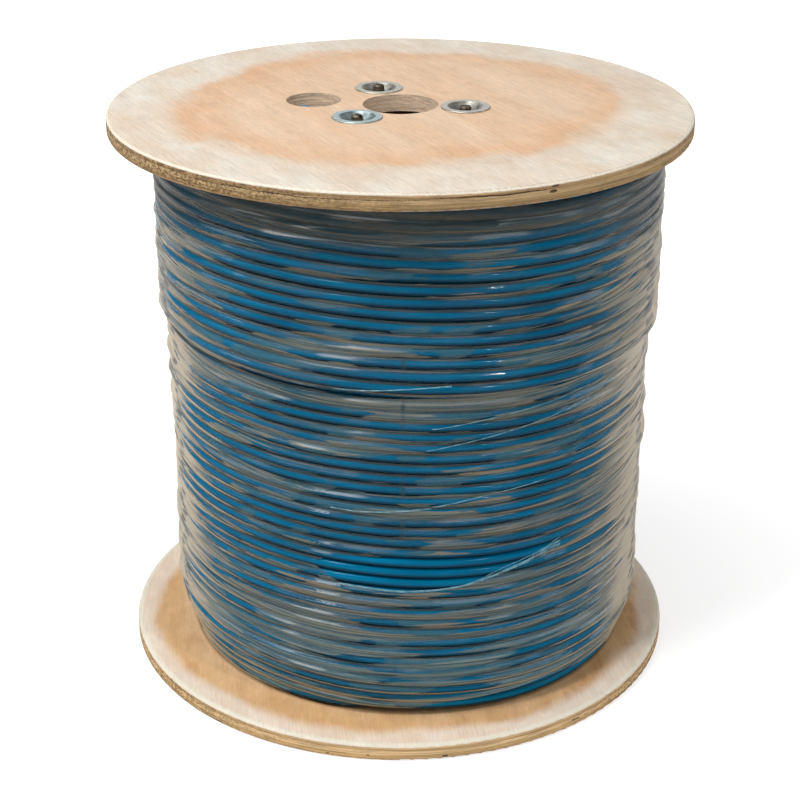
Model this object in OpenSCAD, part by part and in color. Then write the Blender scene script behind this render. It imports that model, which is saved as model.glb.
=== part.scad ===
// Plywood cable drum, full of data cable and wrapped in clear stretch film.
// The drum stands on its bottom flange. Z is its axis, and the origin is the
// centre of the arbor hole at the bottom flange's outer face.

/* [Flanges] */
// Diameter of both flanges
flange_d = 400; // [380:5:600]
// Thickness of the plywood
flange_t = 12; // [11.5:0.5:18]
// Radius of the rounded edges of the rim
rim_round = 2.5; // [0.5:0.25:4]
// Distance between the flanges' inner faces
traverse = 376; // [300:1:500]
// Diameter of the arbor hole in the middle
arbor_d = 52; // [30:1:54]
// Diameter of the drive hole, which also leads the inner cable end out
drive_d = 38; // [28:1:42]
// How far the drive hole's centre lies inside the core's outer surface
drive_inset = 2; // [-2:0.5:8]
// Direction of the drive hole from the axis, in degrees
drive_angle = 170; // [150:1:190]

/* [Core tube] */
// Outer diameter of the hard-paper tube
core_od = 126; // [120:1:150]
// Wall of the tube
core_wall = 5; // [3:0.5:8]

/* [Tie rods] */
// Diameter of the threaded rods that clamp the flanges on the core
rod_d = 8; // [6:0.5:9]
// Diameter of the circle that the rods stand on
rod_pcd = 90; // [88:1:94]
// Direction of the first rod from the axis, in degrees
rod_angle = -10; // [-20:1:0]
// How far the first rod's end stands above the top flange
rod_out_1 = 1; // [0.5:0.1:3]
// How far the second rod's end stands above it
rod_out_2 = 2.8; // [0.5:0.1:3]
// How far the third rod's end stands above it
rod_out_3 = 2; // [0.5:0.1:3]
// Depth of the screwdriver slot in the rods' top ends
slot_depth = 2; // [1:0.25:3]
// Width of that slot
slot_w = 1.6; // [1:0.1:2]
// Turn of the slot from one rod to the next, in degrees
slot_turn = 40; // [0:5:90]
// How far the rods' bottom ends lie inside the bottom face
rod_in = 3; // [2:0.25:4]

/* [Plate nuts] */
// Outer diameter of the pressed rim
nut_d = 34; // [30:0.5:35]
// Diameter of the dish's mouth
dish_d = 25; // [22:0.5:27]
// Diameter of the dish's flat floor
dish_floor_d = 13; // [12:0.5:16]
// Depth of the dish under the rim's underside
dish_depth = 4.5; // [3:0.25:5.5]
// Thickness of the pressed sheet
nut_sheet = 1; // [0.8:0.1:1.4]
// Outer diameter of the threaded neck
neck_d = 13.5; // [12.5:0.5:15]
// Length of the neck and dish together, under the rim
neck_depth = 9.5; // [8:0.25:9.75]
// How far the bottom nuts' rims lie inside the bottom face
nut_sink = 0.4; // [0.2:0.1:0.6]

/* [Cable] */
// Diameter of the cable's jacket
cable_d = 7.6; // [6:0.1:9]
// Gap between the turns of the full layers
turn_gap = 0.1; // [0.1:0.05:0.6]
// Gap between the looser turns of the last, short layer
upper_gap = 0.7; // [0.1:0.05:1.2]
// Turns of the short layer under the top flange
upper_turns = 15; // [8:1:15]
// Turns drawn one by one above the bottom flange
bottom_turns = 9; // [2:1:9]
// Diameter over the full layers
winding_d = 342; // [300:2:342]
// How much further out the short layer lies than the full one
upper_rise = 5.5; // [4.5:0.25:6.5]
// How much further in the winding lies at the bottom flange
foot_drop = 11.5; // [0:0.5:12]
// Number of turns over which it draws in there
foot_turns = 6; // [4:1:8]
// How far the whole winding lies off the drum's axis, towards +X
winding_shift = 6; // [0:0.5:7]
// Length of the arc in which each turn crosses over by one pitch, in degrees
cross_arc = 90; // [60:5:180]
// How far the inner cable end stays below the top face
inner_end_depth = 4; // [1:0.5:8]
// Direction of the inner cable end from the axis, in degrees
inner_end_angle = 173.5; // [168:0.5:178]

/* [Film] */
// Thickness of the wrapped film
film_t = 0.3; // [0.2:0.05:0.5]
// How far the film's ribs stand out over each turn
film_ripple = 0.7; // [0.3:0.1:1]
// Turns that the film leaves bare above the bottom flange
bare_turns = 2; // [0:1:4]

/* [Hidden] */

// Clearances
thread_fit = 0.15;    // rod in the nut's neck, all round
pocket_fit = 0.2;     // nut in its pocket in the plywood
core_fit = 0.2;       // innermost cable layer on the core tube
turn_seat = 0.3;      // turns on the layer below them
flange_fit = 0.2;     // outermost turns from the flanges' inner faces
film_fit = 0.4;       // film over the turns

// Flanges and core
top_z = flange_t + traverse;
drum_h = top_z + flange_t;
drive_r = core_od / 2 - drive_inset;
cut = 1;

// Rods and nuts
rod_out = [rod_out_1, rod_out_2, rod_out_3];
bottom_nut_z = nut_sink + nut_sheet;
rod_chamfer = rod_d / 8;
nut_bore_r = rod_d / 2 + thread_fit;
rim_edge = nut_sheet / 3;
dish_under_r = dish_d / 2 + nut_sheet / 2;
dish_under_depth = dish_depth + nut_sheet;

// Winding: circles round an axis shifted from the drum's own
ring_steps = 24;
ring_sides = 6;
wind_start = 90;
turn_pitch = cable_d + turn_gap;
upper_pitch = cable_d + upper_gap;
full_r = (winding_d - cable_d) / 2;
upper_r = full_r + upper_rise;
chord_share = cos(180 / ring_steps);
full_seat_r = full_r * chord_share - cable_d / 2 - turn_seat;
upper_seat_r = upper_r * chord_share - cable_d / 2 - turn_seat;
upper_first_z = top_z - flange_fit - cable_d / 2;
upper_low_z = upper_first_z - upper_turns * upper_pitch - cable_d / 2;
bottom_last_z = flange_t + flange_fit + cable_d / 2;
bottom_first_z = bottom_last_z + bottom_turns * turn_pitch;
bottom_high_z = bottom_first_z + cable_d / 2;
inner_end_r = core_od / 2 + core_fit + cable_d / 2;

// Film: a rib over each turn, and a slope between the two layers
rib_steps = 4;
film_low_z = flange_t + max(bare_turns * turn_pitch, flange_fit);
film_high_z = top_z - flange_fit;
film_full_r = winding_d / 2 + film_fit;
film_upper_r = film_full_r + upper_rise;
slope_h = 5;
slope_high_z = upper_low_z - turn_seat;
slope_low_z = slope_high_z - slope_h;

$fn = 96;

// --- Shapes that repeat ---

// Rectangle from the axis to r with its two outer corners rounded
module rounded_disc_profile(r, h, edge) {
  square([r - edge, h]);
  translate([0, edge]) square([r, h - 2 * edge]);
  for (z = [edge, h - edge]) translate([r - edge, z]) circle(r = edge);
}

// Moves children to the place of rod i, counted from 0
module at_rod(i) {
  rotate([0, 0, rod_angle + 120 * i]) translate([rod_pcd / 2, 0, 0]) children();
}

// Pocket that a plate nut sits in: z = 0 is its rim's underside, +Z points out of the drum
module nut_pocket(through) {
  cylinder(d = nut_d + 2 * pocket_fit, h = flange_t);
  translate([0, 0, -dish_under_depth])
    cylinder(r1 = neck_d / 2 + pocket_fit, r2 = dish_under_r + pocket_fit, h = dish_under_depth);
  translate([0, 0, -through]) cylinder(d = neck_d + 2 * pocket_fit, h = through);
}

// One flange, outer face down, without its nut pockets
module flange_blank() {
  difference() {
    rotate_extrude() rounded_disc_profile(flange_d / 2, flange_t, rim_round);
    translate([0, 0, -cut]) cylinder(d = arbor_d, h = flange_t + 2 * cut);
    rotate([0, 0, drive_angle]) translate([drive_r, 0, -cut])
      cylinder(d = drive_d, h = flange_t + 2 * cut);
  }
}

// Pressed plate nut with a threaded neck: z = 0 is its rim's underside, +Z points out of the drum
module plate_nut() {
  color([0.72, 0.74, 0.72])
    rotate_extrude() polygon([
      [nut_bore_r, -neck_depth],
      [neck_d / 2, -neck_depth],
      [neck_d / 2, -dish_under_depth],
      [dish_under_r, 0],
      [nut_d / 2, 0],
      [nut_d / 2, nut_sheet - rim_edge],
      [nut_d / 2 - rim_edge, nut_sheet],
      [dish_d / 2, nut_sheet],
      [dish_floor_d / 2, -dish_depth],
      [nut_bore_r, -dish_depth]
    ]);
}

// Threaded rod from z = 0 to h, with chamfered ends and a screwdriver slot in the top one
module tie_rod(h, slot_angle) {
  color([0.33, 0.32, 0.30])
    difference() {
      union() {
        cylinder(d1 = rod_d - 2 * rod_chamfer, d2 = rod_d, h = rod_chamfer);
        translate([0, 0, rod_chamfer]) cylinder(d = rod_d, h = h - 2 * rod_chamfer);
        translate([0, 0, h - rod_chamfer])
          cylinder(d1 = rod_d, d2 = rod_d - 2 * rod_chamfer, h = rod_chamfer);
      }
      rotate([0, 0, slot_angle]) translate([-rod_d, -slot_w / 2, h - slot_depth])
        cube([2 * rod_d, slot_w, slot_depth + cut]);
    }
}

// --- Winding ---

// Part of one pitch gained after the part f of a turn: the crossing lies opposite the start
function cross_share(f) =
  let (s = (f - 0.5) * 360 / cross_arc + 0.5)
  s <= 0 ? 0 : s >= 1 ? 1 : s * s * (3 - 2 * s);

function pitches_gained(t) = floor(t) + cross_share(t - floor(t));

function turn_angle(t) = wind_start + 360 * t;

function turn_centre(t, r, first_z, pitch) =
  [winding_shift + r * cos(turn_angle(t)), r * sin(turn_angle(t)), first_z - pitch * pitches_gained(t)];

// Share of foot_drop that the winding has drawn in, some turns above its last one
function foot_share(turns_left) =
  let (s = 1 - turns_left / foot_turns)
  s <= 0 ? 0 : s >= 1 ? 1 : s * s * (3 - 2 * s);

// How far the winding has drawn in at height z
function foot_in(z) = foot_drop * foot_share((z - bottom_last_z) / turn_pitch);

// Six corners round a point of the cable's centreline, one of them pointing outwards
function cable_ring(centre, angle) =
  [for (k = [0 : ring_sides - 1])
    let (a = 360 * k / ring_sides)
    centre + cable_d / 2 * [cos(a) * cos(angle), cos(a) * sin(angle), sin(a)]];

// All rings of a winding, with one cable diameter of straight run at both ends. It draws in
// by drop over its last turns.
function winding_rings(turns, r, first_z, pitch, drop) =
  let (
    run = cable_d * [-sin(wind_start), cos(wind_start), 0],
    centres = [for (i = [0 : turns * ring_steps])
      let (t = i / ring_steps)
      turn_centre(t, r - drop * foot_share(turns - t), first_z, pitch)]
  )
  [
    cable_ring(centres[0] - run, wind_start),
    for (i = [0 : turns * ring_steps]) cable_ring(centres[i], turn_angle(i / ring_steps)),
    cable_ring(centres[turns * ring_steps] + run, wind_start)
  ];

// Least distance between the corners of each ring and those of the rings one turn on
function least_gap(rings) =
  min([for (i = [0 : len(rings) - ring_steps - 2], j = [i + ring_steps - 1 : i + ring_steps + 1])
    min([for (p = rings[i], q = rings[j]) norm(p - q)])]);

// One unbroken tube of triangles through a list of rings
module wound_tube(rings) {
  last = (len(rings) - 1) * ring_sides;
  sides = [for (i = [0 : len(rings) - 2], k = [0 : ring_sides - 1])
    let (a = i * ring_sides + k, b = i * ring_sides + (k + 1) % ring_sides)
    each [[a, b, b + ring_sides], [a, b + ring_sides, a + ring_sides]]];
  first_cap = [for (k = [1 : ring_sides - 2]) [0, k + 1, k]];
  last_cap = [for (k = [1 : ring_sides - 2]) [last, last + k, last + k + 1]];
  polyhedron([for (r = rings) each r], concat(sides, first_cap, last_cap));
}

upper_rings = winding_rings(upper_turns, upper_r, upper_first_z, upper_pitch, 0);
bottom_rings = winding_rings(bottom_turns, full_r, bottom_first_z, turn_pitch, foot_drop);
echo(str("least gap in the upper layer, mm: ", least_gap(upper_rings)));
echo(str("least gap in the bottom turns, mm: ", least_gap(bottom_rings)));

// --- Film ---

// Points up one zone of the film's inner face, a rib over each pitch. It draws in with the turns,
// half a pitch lower than they do, because each turn is further out on its upper half.
function film_zone(low_z, high_z, r, pitch) =
  let (ribs = max(1, round((high_z - low_z) / pitch)), step = (high_z - low_z) / ribs / rib_steps)
  [for (i = [0 : ribs * rib_steps])
    let (z = low_z + i * step)
    [r - foot_in(z + pitch / 2) + film_ripple * sin(180 * (i % rib_steps) / rib_steps), z]];

film_line = concat(
  film_zone(film_low_z, slope_low_z, film_full_r, turn_pitch),
  film_zone(slope_high_z, film_high_z, film_upper_r, upper_pitch)
);

// --- Sub-parts ---

module bottom_flange() {
  color([0.87, 0.71, 0.54])
    difference() {
      flange_blank();
      for (i = [0 : 2]) at_rod(i) translate([0, 0, bottom_nut_z]) mirror([0, 0, 1])
        nut_pocket(flange_t);
    }
}

module top_flange() {
  color([0.90, 0.77, 0.63])
    difference() {
      translate([0, 0, top_z]) flange_blank();
      for (i = [0 : 2]) at_rod(i) translate([0, 0, drum_h]) nut_pocket(flange_t + cut);
    }
}

module core_tube() {
  color([0.66, 0.55, 0.42])
    translate([0, 0, flange_t]) difference() {
      cylinder(d = core_od, h = traverse);
      translate([0, 0, -cut]) cylinder(d = core_od - 2 * core_wall, h = traverse + 2 * cut);
    }
}

module rod_at(i) {
  at_rod(i) translate([0, 0, rod_in]) tie_rod(drum_h + rod_out[i] - rod_in, slot_turn * i);
}

module top_nut(i) {
  at_rod(i) translate([0, 0, drum_h]) plate_nut();
}

module bottom_nut(i) {
  at_rod(i) translate([0, 0, bottom_nut_z]) mirror([0, 0, 1]) plate_nut();
}

// Layers that no one sees, as one body: it is narrower where the outer turns are drawn
module cable_inner_layers() {
  color([0.02, 0.28, 0.42])
    difference() {
      translate([winding_shift, 0, 0]) rotate_extrude() polygon([
        [0, flange_t],
        [full_seat_r - foot_drop, flange_t],
        for (n = [0 : min(bottom_turns, foot_turns + 1)])
          let (z = bottom_last_z + n * turn_pitch)
          [full_seat_r - foot_in(z - turn_pitch / 2), z],
        [full_seat_r - foot_in(bottom_high_z), bottom_high_z + turn_seat],
        [winding_d / 2 - foot_in(bottom_high_z), bottom_high_z + turn_seat],
        [winding_d / 2, upper_low_z - turn_seat],
        [upper_seat_r, upper_low_z - turn_seat],
        [upper_seat_r, top_z],
        [0, top_z]
      ]);
      translate([0, 0, flange_t - cut]) cylinder(r = core_od / 2 + core_fit, h = traverse + 2 * cut);
    }
}

module cable_upper_layer() {
  color([0.0, 0.42, 0.63]) wound_tube(upper_rings);
}

module cable_bottom_turns() {
  color([0.0, 0.42, 0.63]) wound_tube(bottom_rings);
}

// Inner end of the cable, which stands up from the innermost layer into the drive hole
module cable_inner_end() {
  color([0.0, 0.42, 0.63])
    rotate([0, 0, inner_end_angle]) translate([inner_end_r, 0, top_z])
      cylinder(d = cable_d, h = flange_t - inner_end_depth);
}

module film_wrap() {
  last = len(film_line) - 1;
  color([0.55, 0.66, 0.70, 0.35])
    translate([winding_shift, 0, 0]) rotate_extrude()
      polygon(concat(film_line, [for (i = [last : -1 : 0]) film_line[i] + [film_t, 0]]));
}

bottom_flange();
top_flange();
core_tube();
rod_at(0);  // tie_rod_1
rod_at(1);  // tie_rod_2
rod_at(2);  // tie_rod_3
top_nut(0);  // top_nut_1
top_nut(1);  // top_nut_2
top_nut(2);  // top_nut_3
bottom_nut(0);  // bottom_nut_1
bottom_nut(1);  // bottom_nut_2
bottom_nut(2);  // bottom_nut_3
cable_inner_layers();
cable_upper_layer();
cable_bottom_turns();
cable_inner_end();
film_wrap();
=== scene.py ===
"""Looks of a plywood cable drum: a full winding of blue data cable under clear stretch film,
between two plywood flanges that three threaded rods and six plate nuts clamp on a paper core.
Metres, Z up, the origin at the centre of the arbor hole in the bottom face."""

import math
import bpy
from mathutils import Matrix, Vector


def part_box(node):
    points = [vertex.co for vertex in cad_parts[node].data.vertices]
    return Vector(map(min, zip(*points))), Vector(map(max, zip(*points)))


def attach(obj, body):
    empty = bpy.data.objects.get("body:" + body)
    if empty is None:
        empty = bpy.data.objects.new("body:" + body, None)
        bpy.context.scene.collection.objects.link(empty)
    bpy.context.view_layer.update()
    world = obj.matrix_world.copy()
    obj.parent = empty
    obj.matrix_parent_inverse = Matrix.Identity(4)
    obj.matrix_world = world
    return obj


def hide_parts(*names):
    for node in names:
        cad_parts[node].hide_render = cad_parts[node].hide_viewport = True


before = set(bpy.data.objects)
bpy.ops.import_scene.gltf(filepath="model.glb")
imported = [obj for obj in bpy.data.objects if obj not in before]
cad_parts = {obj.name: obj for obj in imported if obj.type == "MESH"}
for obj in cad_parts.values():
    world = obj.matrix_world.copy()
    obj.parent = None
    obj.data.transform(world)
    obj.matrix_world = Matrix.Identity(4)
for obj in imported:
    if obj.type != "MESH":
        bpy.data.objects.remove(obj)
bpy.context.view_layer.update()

from types import SimpleNamespace

import bpy
import numpy as np
from mathutils import Matrix, noise
from mathutils.bvhtree import BVHTree

MM = 0.001
QUARTER = math.pi / 2
TURN = 2 * math.pi

# Kinds of node, some with the setting that makes them what their name says. Their sockets are
# given in order: RANGE and SMOOTH take a value, the range it comes from and the one it goes to.
MATH = "ShaderNodeMath"
TIMES = (MATH, {"operation": "MULTIPLY"})
TIMES_PLUS = (MATH, {"operation": "MULTIPLY_ADD"})
PLUS = (MATH, {"operation": "ADD"})
MINUS = (MATH, {"operation": "SUBTRACT"})
DIVIDED = (MATH, {"operation": "DIVIDE"})
LEAST = (MATH, {"operation": "MINIMUM"})
MOST = (MATH, {"operation": "MAXIMUM"})
FRACTION = (MATH, {"operation": "FRACT"})
FLOOR = (MATH, {"operation": "FLOOR"})
UNSIGNED = (MATH, {"operation": "ABSOLUTE"})
ARCTAN2 = (MATH, {"operation": "ARCTAN2"})
VECTOR = "ShaderNodeVectorMath"
STRETCH = (VECTOR, {"operation": "MULTIPLY"})
SCALED = (VECTOR, {"operation": "SCALE"})
LENGTH = (VECTOR, {"operation": "LENGTH"})
TURNED = ("ShaderNodeVectorRotate", {"rotation_type": "Z_AXIS"})
SPLIT = "ShaderNodeSeparateXYZ"
JOIN = "ShaderNodeCombineXYZ"
RANGE = "ShaderNodeMapRange"
SMOOTH = (RANGE, {"interpolation_type": "SMOOTHSTEP"})
NOISE = "ShaderNodeTexNoise"
RAMP = "ShaderNodeValToRGB"
MIX = "ShaderNodeMix"
BLEND = (MIX, {"data_type": "RGBA"})
BUMP = "ShaderNodeBump"
PRINCIPLED = "ShaderNodeBsdfPrincipled"
CLEAR = "ShaderNodeBsdfTransparent"
MIX_SHADERS = "ShaderNodeMixShader"
OUTPUT = "ShaderNodeOutputMaterial"

# --- Sizes, read from the frame where it has them ---
FLANGE_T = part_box("bottom_flange")[1].z
FLANGE_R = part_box("bottom_flange")[1].x
TOP_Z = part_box("top_flange")[0].z
DRUM_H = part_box("top_flange")[1].z
CORE_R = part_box("core_tube")[1].x
CABLE_R = (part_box("cable_inner_end")[1].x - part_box("cable_inner_end")[0].x) / 2
SHIFT = (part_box("film_wrap")[1].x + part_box("film_wrap")[0].x) / 2
FIRST_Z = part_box("cable_upper_layer")[1].z - CABLE_R
LAST_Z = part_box("cable_bottom_turns")[0].z + CABLE_R
UPPER_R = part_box("cable_upper_layer")[1].x - SHIFT - CABLE_R
UPPER_RISE = 5.5 * MM
FULL_R = UPPER_R - UPPER_RISE
UPPER_TURNS = 15
UPPER_PITCH = 8.3 * MM
FULL_TURNS = 48
FULL_PITCH = (FIRST_Z - LAST_Z) / FULL_TURNS
HIDDEN_LAYERS = 13
LAYER_RISE = (FULL_R - CORE_R - CABLE_R) / HIDDEN_LAYERS
STEP_Z = FIRST_Z - UPPER_TURNS * UPPER_PITCH - CABLE_R
CROSSING = math.radians(90)
FOOT_DROP = 9.5 * MM
FOOT_TURNS = 5
THREAD_PITCH = 1.25 * MM
THREAD_TURNS = 6


def colour(code):
    """Linear colour of an sRGB hex value"""
    parts = [int(code[i:i + 2], 16) / 255 for i in (0, 2, 4)]
    return [p / 12.92 if p <= 0.04045 else ((p + 0.055) / 1.055) ** 2.4 for p in parts] + [1.0]


def put(tree, kind, inputs=(), stops=(), **settings):
    """Adds a node with its settings. inputs gives its sockets, in order in a list or by name, a
    value, a colour's hex value, or what feeds them: a node, whose first output counts, or one
    output. stops fills a colour ramp."""
    kind, own = kind if isinstance(kind, tuple) else (kind, {})
    node = tree.nodes.new(kind)
    for name, value in {**own, **settings}.items():
        setattr(node, name, value)
    for i, (place, tone) in enumerate(stops):
        ramp = node.color_ramp.elements
        element = ramp[i] if i < 2 else ramp.new(place)
        element.position = place
        element.color = colour(tone)
    sockets = [s for s in node.inputs if s.enabled]
    for key, value in inputs.items() if isinstance(inputs, dict) else enumerate(inputs):
        socket = sockets[key] if isinstance(key, int) else next(s for s in sockets if s.name == key)
        if isinstance(value, str):
            value = colour(value)
        if isinstance(value, bpy.types.Node):
            value = next(s for s in value.outputs if s.enabled)
        if isinstance(value, bpy.types.NodeSocket):
            tree.links.new(value, socket)
        else:
            socket.default_value = value
    return node


def sized(tree, place, x, y, z, detail=3.0, roughness=0.5):
    """Sockets of a noise whose unit is as large as these millimetres"""
    scale = (1000 / x, 1000 / y, 1000 / z)
    return {"Vector": put(tree, STRETCH, [place, scale]), "Scale": 1.0, "Detail": detail,
            "Roughness": roughness}


def apart(tree, value, middle):
    """How far a value is from a middle"""
    return put(tree, UNSIGNED, [put(tree, MINUS, [value, middle])])


def new_material(name):
    """Empty material, its tree, and each point's place in the object's own space"""
    material = bpy.data.materials.new(name)
    material.use_nodes = True
    tree = material.node_tree
    tree.nodes.clear()
    return material, tree, put(tree, "ShaderNodeTexCoord").outputs["Object"]


# --- Geometry Nodes ---

def new_tree(name, **sockets):
    """Geometry Nodes tree and its inputs, from lists of their names for each type of socket"""
    tree = bpy.data.node_groups.new(name, "GeometryNodeTree")
    for kind, names in sockets.items():
        for socket in names:
            tree.interface.new_socket(socket, in_out="INPUT", socket_type="NodeSocket" + kind)
    tree.interface.new_socket("Piece", in_out="OUTPUT", socket_type="NodeSocketGeometry")
    return tree, put(tree, "NodeGroupInput").outputs


def finish_tube(tree, path, radius, sides, material):
    """Ends a tree in a smooth tube along a path, as real geometry with its material"""
    ring = put(tree, "GeometryNodeCurvePrimitiveCircle", {"Resolution": sides, "Radius": radius})
    tube = put(tree, "GeometryNodeCurveToMesh", {
        "Curve": path, "Profile Curve": ring, "Fill Caps": True})
    smooth = put(tree, "GeometryNodeSetShadeSmooth", {"Geometry": tube})
    real = put(tree, "GeometryNodeRealizeInstances", {"Geometry": smooth})
    painted = put(tree, "GeometryNodeSetMaterial", {"Geometry": real, "Material": material})
    put(tree, "NodeGroupOutput", {"Piece": painted})
    return tree


def coil_height(tree, size, layer, turn):
    """Height on a coil, from the pitches gained so far, or still to come in a layer that climbs
    back up, and 1 for such a layer"""
    part = put(tree, FRACTION, [turn])
    half = put(tree, TIMES, [size["Crossing"], 0.5 / TURN])
    share = put(tree, SMOOTH, [part, put(tree, MINUS, [0.5, half]), put(tree, PLUS, [0.5, half])])
    eased = put(tree, MIX, [size["Evenness"], share, part])
    gained = put(tree, PLUS, [put(tree, FLOOR, [turn]), eased])
    back = put(tree, MATH, [layer, 2.0], operation="MODULO")
    passed = put(tree, MIX, [back, gained, put(tree, MINUS, [size["Turns"], gained])])
    fall = put(tree, TIMES, [passed, size["Pitch"]])
    height = put(tree, MINUS, [size["First Height"], fall])
    return put(tree, MOST, [height, size["Lowest"]]), back


def coil_radius(tree, size, layer, back, turn, left, rest):
    """Radius on a coil: it climbs to the next layer in the last quarter of a turn, draws in at
    its foot, and the end of the cable is tucked in"""
    climb = put(tree, SMOOTH, [left, 0.25, 0.0])
    risen = put(tree, TIMES_PLUS, [put(tree, PLUS, [layer, climb]), size["Layer Rise"],
                                   size["Radius"]])
    above = put(tree, MIX, [back, left, turn])
    foot = put(tree, SMOOTH, [above, size["Foot Turns"], 0.0])
    drawn = put(tree, TIMES, [foot, size["Foot Drop"]])
    radius = put(tree, MINUS, [risen, drawn])
    tucked = put(tree, SMOOTH, [rest, 0.055, 0.0, 0, size["Tuck"]])
    return put(tree, MINUS, [radius, tucked])


def winding_tree():
    """Cable wound on a drum. Each turn runs level and crosses over by one pitch in one sector, or
    climbs evenly. With several layers, every second one comes back up, one rise further out."""
    tree, size = new_tree(
        "wound_cable",
        Int=["Layers", "Turns", "Steps", "Steps Short", "Sides"],
        Float=["Radius", "Layer Rise", "First Height", "Pitch", "Shift", "Crossing", "Evenness",
               "Cable Radius", "Foot Drop", "Foot Turns", "Wander", "Wander Height", "Slack",
               "Lowest", "Tuck"],
        Material=["Material"])
    ring = put(tree, TIMES, [size["Turns"], size["Steps"]])
    count = put(tree, TIMES_PLUS, [ring, size["Layers"], 1.0])
    count = put(tree, MINUS, [count, size["Steps Short"]])
    wound = put(tree, DIVIDED, [put(tree, "GeometryNodeInputIndex"), size["Steps"]])
    layer = put(tree, FLOOR, [put(tree, DIVIDED, [wound, size["Turns"]])])
    turn = put(tree, MINUS, [wound, put(tree, TIMES, [layer, size["Turns"]])])
    left = put(tree, MINUS, [size["Turns"], turn])
    rest = put(tree, MINUS, [put(tree, DIVIDED, [count, size["Steps"]]), wound])
    height, back = coil_height(tree, size, layer, turn)
    radius = coil_radius(tree, size, layer, back, turn, left, rest)

    # Wander: neighbouring turns push each other, so it changes slowly up the drum
    angle = put(tree, TIMES_PLUS, [wound, TURN, QUARTER])
    cosine = put(tree, MATH, [angle], operation="COSINE")
    sine = put(tree, MATH, [angle], operation="SINE")
    near = put(tree, DIVIDED, [height, size["Wander Height"]])
    place = put(tree, JOIN, [put(tree, TIMES, [cosine, 1.4]), put(tree, TIMES, [sine, 1.4]), near])
    stray = put(tree, NOISE, {"Vector": place, "Scale": 1.0, "Detail": 1.0, "Roughness": 0.4})
    stray = put(tree, SPLIT, [stray.outputs["Color"]]).outputs
    room = put(tree, SMOOTH, [put(tree, LEAST, [turn, left]), 0, 1.5])
    shove = put(tree, TIMES, [put(tree, MINUS, [stray["X"], 0.5]),
                              put(tree, TIMES, [room, size["Wander"]])])
    height = put(tree, PLUS, [height, shove])
    lift = put(tree, MINUS, [stray["Y"], 0.5])
    radius = put(tree, TIMES_PLUS, [lift, size["Slack"], radius])

    centre = put(tree, JOIN, [put(tree, TIMES_PLUS, [cosine, radius, size["Shift"]]),
                              put(tree, TIMES, [sine, radius]), height])
    line = put(tree, "GeometryNodeMeshLine", {"Count": count})
    line = put(tree, "GeometryNodeSetPosition", {"Geometry": line, "Position": centre})
    path = put(tree, "GeometryNodeMeshToCurve", {"Mesh": line})
    return finish_tube(tree, path, size["Cable Radius"], size["Sides"], size["Material"])


def fibre_tree():
    """Fibres of gathered film along a course: they stray from it, more where they fan out"""
    tree, size = new_tree(
        "film_fibres", Geometry=["Course"], Int=["Fibres"],
        Float=["Spread", "Fan", "Fibre Radius", "Seed"], Material=["Material"])
    path = put(tree, "GeometryNodeMeshToCurve", {"Mesh": size["Course"]})
    copies = put(tree, "GeometryNodeDuplicateElements", {
        "Geometry": path, "Amount": size["Fibres"]}, domain="SPLINE")
    along = put(tree, "GeometryNodeSplineParameter").outputs["Factor"]
    own = put(tree, TIMES_PLUS, [copies.outputs["Duplicate Index"], 7.3, size["Seed"]])
    stray = put(tree, NOISE, {"Vector": put(tree, "GeometryNodeInputPosition"), "W": own,
                              "Scale": 14.0, "Detail": 2.0}, noise_dimensions="4D")
    stray = put(tree, VECTOR, [stray.outputs["Color"], (0.5, 0.5, 0.5)], operation="SUBTRACT")
    fan = put(tree, SMOOTH, [along, 0.45, 1, size["Spread"], size["Fan"]])
    flat = put(tree, STRETCH, [stray, (0.1, 0.1, 1.0)])
    moved = put(tree, SCALED, [flat, fan])
    fibres = put(tree, "GeometryNodeSetPosition", {"Geometry": copies, "Offset": moved})
    return finish_tube(tree, fibres, size["Fibre Radius"], 5, size["Material"])


def new_piece(name, mesh):
    """Adds an object to the scene, at the origin"""
    piece = bpy.data.objects.new(name, mesh)
    bpy.context.scene.collection.objects.link(piece)
    return piece


def grown(name, tree, values, course=None):
    """Piece that a Geometry Nodes tree makes from named values, as a plain mesh"""
    source = new_piece(name, course or bpy.data.meshes.new(name + "_start"))
    modifier = source.modifiers.new("nodes", "NODES")
    modifier.node_group = tree
    for item in tree.interface.items_tree:
        if item.in_out == "INPUT" and item.name in values:
            modifier[item.identifier] = values[item.name]
    seen = source.evaluated_get(bpy.context.evaluated_depsgraph_get())
    mesh = bpy.data.meshes.new_from_object(seen)
    source.modifiers.clear()
    source.data = mesh
    mesh.name = name
    return source


def declare(piece, slot, *nodes):
    """Hangs a finished piece on the root body and hides the CAD nodes it stands for. The slot it
    would take its finish from is not used.
    """
    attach(piece, "root")
    if nodes:
        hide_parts(*nodes)


# --- Materials ---

PLY_ENDS = (0.133, 0.325, 0.6, 0.867)
PLY_TONES = ("C7A980", "B5946A", "D0B083", "BB9A6C", "DDB283")
GLUE_W = 0.015


def plies(tree, sheet, place, normal, height):
    """Which ply: its depth under the sheet's top, with 40 mm waves, picks the grain's direction.
    Gives the wave, the depth (0 to 1), the place along the grain and how square the grain is cut."""
    wave = put(tree, NOISE, {"Vector": place, "Scale": 25.0, "Detail": 2.0})
    depth = put(tree, RANGE, [height, sheet.top_z, sheet.top_z - FLANGE_T])
    depth = put(tree, TIMES_PLUS, [wave, 0.05, depth])
    depth = put(tree, MINUS, [depth, 0.025])
    cross = put(tree, RAMP, [depth], stops=(
        (0.0, "000000"), (PLY_ENDS[0], "FFFFFF"), (PLY_ENDS[-1], "000000")))
    cross.color_ramp.interpolation = "CONSTANT"
    turned = put(tree, TIMES_PLUS, [cross.outputs["Color"], -QUARTER, -math.radians(sheet.grain)])
    grain = put(tree, TURNED, {"Vector": place, "Angle": turned})
    end = put(tree, SPLIT, [put(tree, TURNED, {"Vector": normal, "Angle": turned})]).outputs["X"]
    return wave, depth, grain, put(tree, TIMES, [end, end])


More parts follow.
